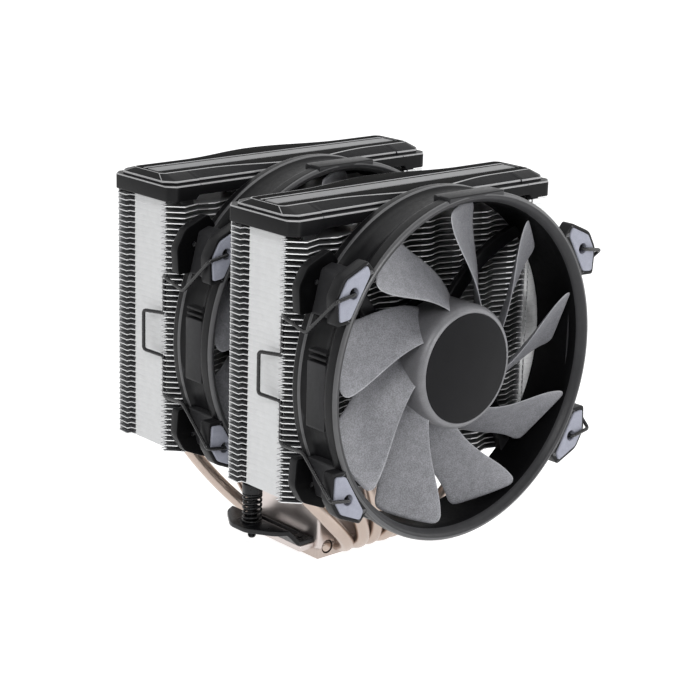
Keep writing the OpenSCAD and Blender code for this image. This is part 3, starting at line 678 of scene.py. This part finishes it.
def grooved(z_out, top, hy, b):
    prof = groove_profile(z_out, top)
    rads = [0.12, b, b, 0.12] + [0] * (len(prof) - 4)
    prof = ccw(rounded(prof, rads, 4))
    vs, fs = [], []
    n = len(prof)
    ys = [(-hy, 1.0), (-hy + b * 0.3, 0.3), (-hy + b, 0.0), (hy - b, 0.0), (hy - b * 0.3, 0.3), (hy, 1.0)]
    cz = z_out + (-1 if top else 1) * 0
    for y, e in ys:
        for x, z in prof:
            dx = (-1 if x > 0 else 1) * e * b if abs(x) > 23.0 else 0.0
            dz = ((-1 if top else 1) * e * b) if abs(z - cz) < 1.0 else 0.0
            vs.append((x + dx, y, z + dz))
    for k in range(len(ys) - 1):
        for i in range(n):
            j = (i + 1) % n
            fs.append((k * n + i, k * n + j, (k + 1) * n + j, (k + 1) * n + i))
    for k in (0, len(ys) - 1):
        for t in tessellate_polygon([[Vector((vs[k * n + i][0], vs[k * n + i][2], 0)) for i in range(n)]]):
            fs.append(tuple(k * n + i for i in t))
    return vs, fs


make("cold_plate_body", Mesh().add(grooved(0.0, False, 23.0, 0.5)), [M["plate"]], "cooler", ["cold_plate"], sharp=30)
blk = Mesh().add(grooved(22.0, True, 23.0, 1.2))
for sx in (-1, 1):
    ear = shell(rounded(rect(23.9, -20.8, 32.0, 20.8), 1.0, 3), 4.6, 7.2, 0.3, holes=[circle(1.45, 24, (29, -17)), circle(1.45, 24, (29, 17))])
    blk.add(mirrored(ear, sx))
make("base_block_body", blk, [M["block"]], "cooler", ["base_block"], sharp=30)


# ------------------------------------------------------------------ brackets and screws
def wing(sx):
    plan = rounded([(24.3, -20.5), (33.5, -20.5), (41.5, -16.5), (49, -5), (49, 5), (41.5, 16.5), (33.5, 20.5), (24.3, 20.5)],
                   [0.6, 2.5, 3.0, 2.5, 2.5, 3.0, 2.5, 0.6], 5)
    window = rounded([(25.6, -13), (33.0, -13), (33.0, 13), (25.6, 13)], 1.6, 4)
    vs, fs = shell(plan, 0, 2.0, 0.3, holes=[window, circle(2.6, 40, (41, 0)), circle(2.75, 32, (29, -17)), circle(2.75, 32, (29, 17))], bh=0.2)
    bm = bmesh.new()
    bv = [bm.verts.new(p) for p in vs]
    for f in fs:
        try:
            bm.faces.new([bv[i] for i in f])
        except ValueError:
            pass
    bmesh.ops.remove_doubles(bm, verts=bm.verts, dist=1e-4)
    for x in (31.6, 32.2, 32.8, 33.4, 34.6, 35.4, 36.2, 36.8, 37.4):
        bmesh.ops.bisect_plane(bm, geom=bm.verts[:] + bm.edges[:] + bm.faces[:], dist=1e-5, plane_co=(x, 0, 0), plane_no=(1, 0, 0))
    bm.verts.index_update()

    def rise(x):
        t = max(0.0, min(1.0, (x - 32.4) / 4.8))
        soft = t * t * (3 - 2 * t)
        return 7.2 + 5.2 * (0.65 * t + 0.35 * soft)
    out_v = [(sx * v.co.x, v.co.y, v.co.z + rise(v.co.x + 0.4 * v.co.z)) for v in bm.verts]
    out_f = [tuple(v.index for v in f.verts) for f in bm.faces]
    bm.free()
    return out_v, out_f


def cross(a, w):
    return [(-w, -a), (w, -a), (w, -w), (a, -w), (a, w), (w, w), (w, a), (-w, a), (-w, w), (-a, w), (-a, -w), (-w, -w)]


def upside(z_total):
    return lambda p: (p[0], p[1], -p[2])


def head(r, z0, z1, b, slot, depth):
    vs, fs = shell(circle(r, 48), -z1, -z0, b, 0.2, pocket=(rounded(slot, 0.15, 2), depth))
    return [(x, y, -z) for x, y, z in vs], fs


bs = Mesh()
for sx, nm in ((-1, "left"), (1, "right")):
    make(nm + "_bracket_plate", Mesh().add(wing(sx)), [M["steel"]], "cooler", [nm + "_mount_bracket"], sharp=34)
    for sy in (-1, 1):
        at = shift(sx * 29, sy * 17)
        bs.add(head(2.68, 8.02, 9.3, 0.35, cross(1.6, 0.3), 0.55), 0, at)
        bs.add(lathe([(0.6, 3.2), (1.4, 3.7), (1.4, 8.2)], 24, False), 0, at)
make("bracket_screw_set", bs, [M["steel"]], "cooler", ["bracket_screws"])

for sx, nm in ((-1, "left"), (1, "right")):
    at = shift(sx * SCREW_X)
    sc = Mesh()
    sc.add(head(4.3, 27.4, 31.8, 0.6, cross(2.7, 0.5), 2.2), 0, at)
    thread = []
    z = 7.75
    while z < 10.9:
        thread += [(1.45, z), (1.75, z + 0.25)]
        z += 0.5
    prof = [(1.2, 7.2), (1.5, 7.5)] + thread + [(1.45, 11.0), (1.4, 11.1), (1.4, 12.3), (1.9, 12.3), (2.0, 12.45), (2.0, 27.3), (2.4, 27.45)]
    sc.add(lathe(prof, 36, False), 0, at)
    make(nm + "_sprung_screw", sc, [M["steel"]], nm + "_screw", [nm + "_mount_screw"])
    ringp = shell(circle(3.2, 40), 11.25, 12.05, 0.12, holes=[circle(1.46, 32)], bh=0.03)
    make(nm + "_retaining_ring", Mesh().add(ringp, 0, at), [M["steel"]], nm + "_plunger", [nm + "_screw_retainer"])
    z1, z2, turns, steps = 14.45 + 0.55, 27.35 - 0.55, 7, 7 * 26
    pts = []
    for i in range(steps + 1):
        u = i / steps
        v = max(0.0, min(1.0, (u * turns - 0.8) / (turns - 1.6)))
        a = 2 * math.pi * turns * u
        pts.append((sx * SCREW_X + 3.75 * math.cos(a), 3.75 * math.sin(a), z1 + (z2 - z1) * (0.07 * u + 0.93 * v)))
    sp = make(nm + "_coil_spring", Mesh().add(tube(pts, 0.55, 12, dome_len=0.5, steps=3)), [M["spring"]], "cooler", [nm + "_spring"], sharp=60)
    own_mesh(sp)


# ------------------------------------------------------------------ fans
def fan_at(y0):
    return lambda p: (p[0], y0 + p[2], FAN_Z + p[1])


def arc(r, a0, a1, n):
    return [(r * math.cos(math.radians(a0 + (a1 - a0) * i / n)), r * math.sin(math.radians(a0 + (a1 - a0) * i / n))) for i in range(n + 1)]


PAD = [(55.8, 50.0), (54.2, 46.6), (63.8, 30.4), (69.0, 29.8), (69.6, 39.0), (65.8, 45.6)]
HOLE = (62.4, 40.2)


def ear_outline(r_in):
    p = [(55.6, 51.6), (51.9, 47.2)] + arc(r_in, 41.6, 24.4, 12) + [(70.2, 28.4), (71.0, 39.4), (66.7, 46.8)]
    rr_ = [1.2, 0.5] + [0] * 13 + [1.4, 2.0, 2.0]
    return rounded(p, rr_, 4)


def strut(q):
    left, right = [], []
    for i in range(15):
        r = 23.0 + i * 43.2 / 14
        a = 12 - 20 * (r - 24) / 42.24
        w = math.degrees(3.2 / r)
        for lst, sg in ((left, -1), (right, 1)):
            t = math.radians(52 + 90 * q + a + sg * w)
            lst.append((r * math.cos(t), r * math.sin(t)))
    return shell(left + list(reversed(right)), 21.0, 24.4, 0.7, 0.7, steps=3)


TOP_FLAT = 70.0


def land_loop(r_low, d, top=TOP_FLAT, hx=15.0, n=16):
    a = math.degrees(math.asin(hx / r_low))
    top_side = corner((hx, 60), (hx, top), (-hx, top), 0.6, 3) + corner((hx, top), (-hx, top), (-hx, 60), 0.6, 3)
    low = arc(r_low, 90 + a, 90 - a, n)
    return [(x * (1 - d / hx), y - (d if y > top - 0.7 else 0)) for x, y in top_side + low]


def fan_frame_mesh(y0):
    m = Mesh()
    at = fan_at(y0)
    ring = rounded([(65.5, 5.5), (66.2, 2.6), (67.5, 0.6), (68.4, 0), (69.3, 0), (70.2, 0.5), (70.5, 1.6), (70.5, 5.2), (69.5, 7.0), (68.2, 8.4),
                    (67.5, 10.5), (67.5, 17.5), (68.0, 19.4), (69.4, 20.8), (69.6, 21.6), (69.6, 25), (65.5, 25)],
                   [1.2, 0.8, 0.5, 0.4, 0.4, 0.4, 0.5, 0.6, 0.8, 0.9, 1.2, 1.2, 0.9, 0.5, 0.4, 0.4, 0.4], 3)
    rv, rf = lathe(ring, 224)
    m.add(([(x, min(y, TOP_FLAT - 0.03), z) for x, y, z in rv], rf), 0, at)
    lows = [(0.0, 69.45, 0.5), (0.15, 69.45, 0.2), (0.5, 69.45, 0.0), (5.6, 69.3, 0.0), (7.2, 68.2, 0.0), (8.4, 67.9, 0.0), (8.7, 67.8, 0.2), (8.8, 67.8, 0.5)]
    m.add(loft([[(x, y, sv) for x, y in land_loop(r, d)] for sv, r, d in lows]), 0, at)
    for sx in (1, -1):
        for sy in (1, -1):
            front = shell(ear_outline(69.45), 0, 5.5, 0.5, 0.5, holes=[circle(2.3, 32, HOLE)], pocket=(rounded(PAD, 1.2, 4), 2.4), bh=0.25)
            m.add(mirrored(front, sx, sy), 0, at)
            back = shell(ear_outline(69.55), -25, -20.5, 0.5, 0.5, holes=[circle(1.0, 24, HOLE)], pocket=(rounded(PAD, 1.2, 4), 2.4), bh=0.25)
            back = ([(x, y, -z) for x, y, z in back[0]], back[1])
            m.add(mirrored(back, sx, sy), 0, at)
            web = rounded([(55.0, 47.0)] + arc(67.1, 40.4, 24.5, 10) + [(64.6, 28.4), (60.2, 45.2)], [0.8] + [0] * 11 + [1.0, 1.2], 4)
            m.add(mirrored(shell(web, 5.0, 21.0, 0, 0), sx, sy), 0, at)
    m.add(shell(circle(26, 96), 21, 24.6, 0.5, 0.6), 0, at)
    m.add(lathe([(5.6, 6.6), (5.6, 21.2), (4.05, 21.2), (4.05, 6.6)], 48), 0, at)
    for q in range(4):
        m.add(strut(q), 0, at)
    # raised panel on the barrel's side, with two short ribs over it
    for sx in (-1, 1):
        def side(part):
            return [(sx * z, y, x) for x, y, z in part[0]], part[1]
        m.add(side(shell(rounded([(6.9, -14.0), (17.6, -14.0), (17.6, 12.0), (6.9, 12.0)], 0.8, 3), 64.5, 68.9, 0, 0.35)), 0, at)
        for h in (13.2, 15.6):
            m.add(side(shell(rounded([(7.2, h), (17.0, h), (17.0, h + 1.0), (7.2, h + 1.0)], 0.3, 2), 64.5, 68.8, 0, 0.3)), 0, at)
    return m


def frame_pick(y0):
    def f(p):
        x, y, z = p.center.x / MM, p.center.y / MM - y0, p.center.z / MM - FAN_Z
        r = math.hypot(x, z)
        w, ln, along = strip_size(p)
        # Painted highlight: narrow strips on the rim's outer rounded edge get the lighter rim edge colour.
        if r > 69.0 and 0.08 < w < 0.3 and 1.5 < ln < 2.2:
            return 3
        # Painted shade: the inner duct wall behind the rim gets the darker frame copy.
        if r < 65.9 and y > 3.0 and abs(p.normal.y) < 0.6 and r > 60:
            return 1
        if r < 69.4 and r > 65.4 and y < 5.0 and y > -0.1:
            return 2
        # Painted shade: the front faces of the rear ear plates and flange step, in the recess behind the front ears,
        # get the darker frame copy.
        if 20.3 < y < 21.2 and r > 69.6 and p.normal.y < -0.4:
            return 1
        return 0
    return f


def hub_profile():
    p = [(1.51, 2.9), (22.6, 2.9), (22.95, 3.3), (22.95, 19.8), (25.5, 19.8), (25.5, 5.2), (25.0, 3.0), (23.8, 1.6), (22.5, 1.2),
         (22.4, 1.2), (22.4, 1.6), (3.2, 1.6), (3.2, 1.3), (1.51, 1.3)]
    r = [0, 0.2, 0.2, 0.2, 0.3, 0.9, 0.9, 0.6, 0.05, 0.05, 0, 0, 0, 0]
    return rounded(p, r, 3)


def lead_a(r):
    return 107.3 + 33.5 * math.sin(math.radians(90 * (max(r - 25, 0) / 39.2) ** 0.86))


def chord_a(r):
    return 33 - 9 * math.sin(math.radians(90 * (r - 25) / 39.2))


def blade_part(q):
    """One blade: rounded edges all round and rounded tip corners."""
    nr, nc = 34, 22
    loops = []
    for i in range(nr + 1):
        u = i / nr
        r = 24.3 + (64.2 - 24.3) * (1 - (1 - u) ** 1.35)
        rc = max(r, 25.0)
        d = 4.0
        cut = 0.0
        if r > 64.2 - d:
            w = (r - (64.2 - d)) / d
            cut = 0.12 * (1 - math.sqrt(max(0.0, 1 - w * w)))
        edge = max(0.12, min(1.0, (64.2 - r) / 0.7)) ** 0.5
        la, ca = lead_a(rc), chord_a(rc)
        ls = 4.2 - 2.2 * (rc - 25) / 39.2
        ds = 18.6 - 3.2 * (rc - 25) / 39.2 - ls
        dl = math.radians(ca) * r
        ln = math.hypot(dl, ds)
        up, dn = [], []
        for j in range(nc + 1):
            c = 0.5 - 0.5 * math.cos(math.pi * j / nc)
            t = cut * 0.9 + c * (1 - cut * 1.9)
            w = 0.85 * edge * max(0.0, math.sin(math.pi * c)) ** 0.42
            for lst, sg in ((up, 1), (dn, -1)):
                a = math.radians(la - ca * t) + sg * w * (ds / ln) / r + math.radians(40 * q)
                s = ls + ds * (t + 0.10 * math.sin(math.pi * t)) + sg * w * (dl / ln)
                lst.append((r * math.cos(a), r * math.sin(a), s))
        loops.append(up + list(reversed(dn[1:-1])))
    return loft(loops)


def gap(i):
    """Middle height of the space over fin sheet i."""
    return FIN_Z0 + i * FIN_PITCH + (FIN_PITCH + FIN_T) / 2


def clip_half(u):
    zg, zh = gap(32 if u > 0 else 10), gap(25 if u > 0 else 17)
    return [(-62.4, -44.1, FAN_Z + u * 40.2), (-62.4, -46.8, FAN_Z + u * 40.2), (-72.0, -46.8, FAN_Z + u * 38.6), (-72.2, -30.5, FAN_Z + u * 23.5),
            (-70.6, -16.5, zg), (-68.0, -12.12, zg), (-68.0, -12.12, zh), (-70.3, -1.0, zh - u * 0.8)]


clip_path = rounded_open(clip_half(1) + list(reversed(clip_half(-1))), 1.5, 7)

for s, nm in ((-1, "front"), (1, "rear")):
    y0 = s * YT - HY - FAN_D
    at = fan_at(y0)
    make(nm + "_fan_housing", fan_frame_mesh(y0), [M["frame"], M["frame_dark"], M["rim"], M["rim_edge"]], "cooler", [nm + "_fan_frame"], sharp=38,
         pick=frame_pick(y0))
    pads = Mesh()
    po = [(61.6 + (x - 61.6) * 0.985, 40.2 + (y - 40.2) * 0.985) for x, y in PAD]
    for sx in (1, -1):
        for sy in (1, -1):
            pads.add(mirrored(shell(rounded(po, 1.2, 4), -0.6, 2.35, 0.5, 0.1, holes=[circle(2.2, 32, HOLE)], bh=0.3), sx, sy), 0, at)
            pads.add(mirrored(shell(rounded(po, 1.2, 4), 22.65, 25.0, 0.1, 0.35, holes=[circle(0.95, 24, HOLE)], bh=0.3), sx, sy), 0, at)
    make(nm + "_ear_pads", pads, [M["pad"]], "cooler", [nm + "_fan_pads"])
    imp = Mesh().add(lathe(hub_profile(), 144), 1, at)
    boss = lathe(rounded([(1.51, 2.9), (4.2, 2.9), (4.2, 6.2), (1.51, 6.2)], 0.15, 2), 48)
    imp.add(boss, 1, at)
    for q in range(9):
        imp.add(blade_part(q), 0, at)
    make(nm + "_blade_wheel", imp, [M["blade"], M["hub"]], nm + "_rotor", [nm + "_impeller"], sharp=42)
    make(nm + "_hub_disc", Mesh().add(shell(circle(22.2, 128), 1.1, 1.5, 0.14, 0.05), 0, at), [M["label"]], nm + "_rotor", [nm + "_hub_label"])
    for sx, side in ((1, "left"), (-1, "right")):
        pts = [(sx * x, y + s * YT, z) for x, y, z in clip_path]
        make("%s_%s_clip_wire" % (nm, side), Mesh().add(tube(pts, 0.75, 14)), [M["clip"]], "cooler", ["%s_%s_clip" % (nm, side)], sharp=60)
    for node, key in (("fan_shaft", "shaft"), ("fan_bearing", "bronze"), ("rotor_yoke", "yoke"), ("rotor_magnet", "magnet"),
                      ("stator_core", "core"), ("motor_coils", "coil"), ("circuit_board", "board")):
        ob = NODES[nm + "_" + node]
        if not ob.material_slots:
            ob.data.materials.append(M[key])
        for sl in ob.material_slots:
            sl.material = M[key]
        w = ob.modifiers.new("weld", "WELD")
        w.merge_threshold = 1e-6
        b = ob.modifiers.new("edges", "BEVEL")
        b.width = 0.00015
        b.segments = 2
        b.limit_method = "ANGLE"
        b.angle_limit = math.radians(50)
        ob.modifiers.new("normals", "WEIGHTED_NORMAL")
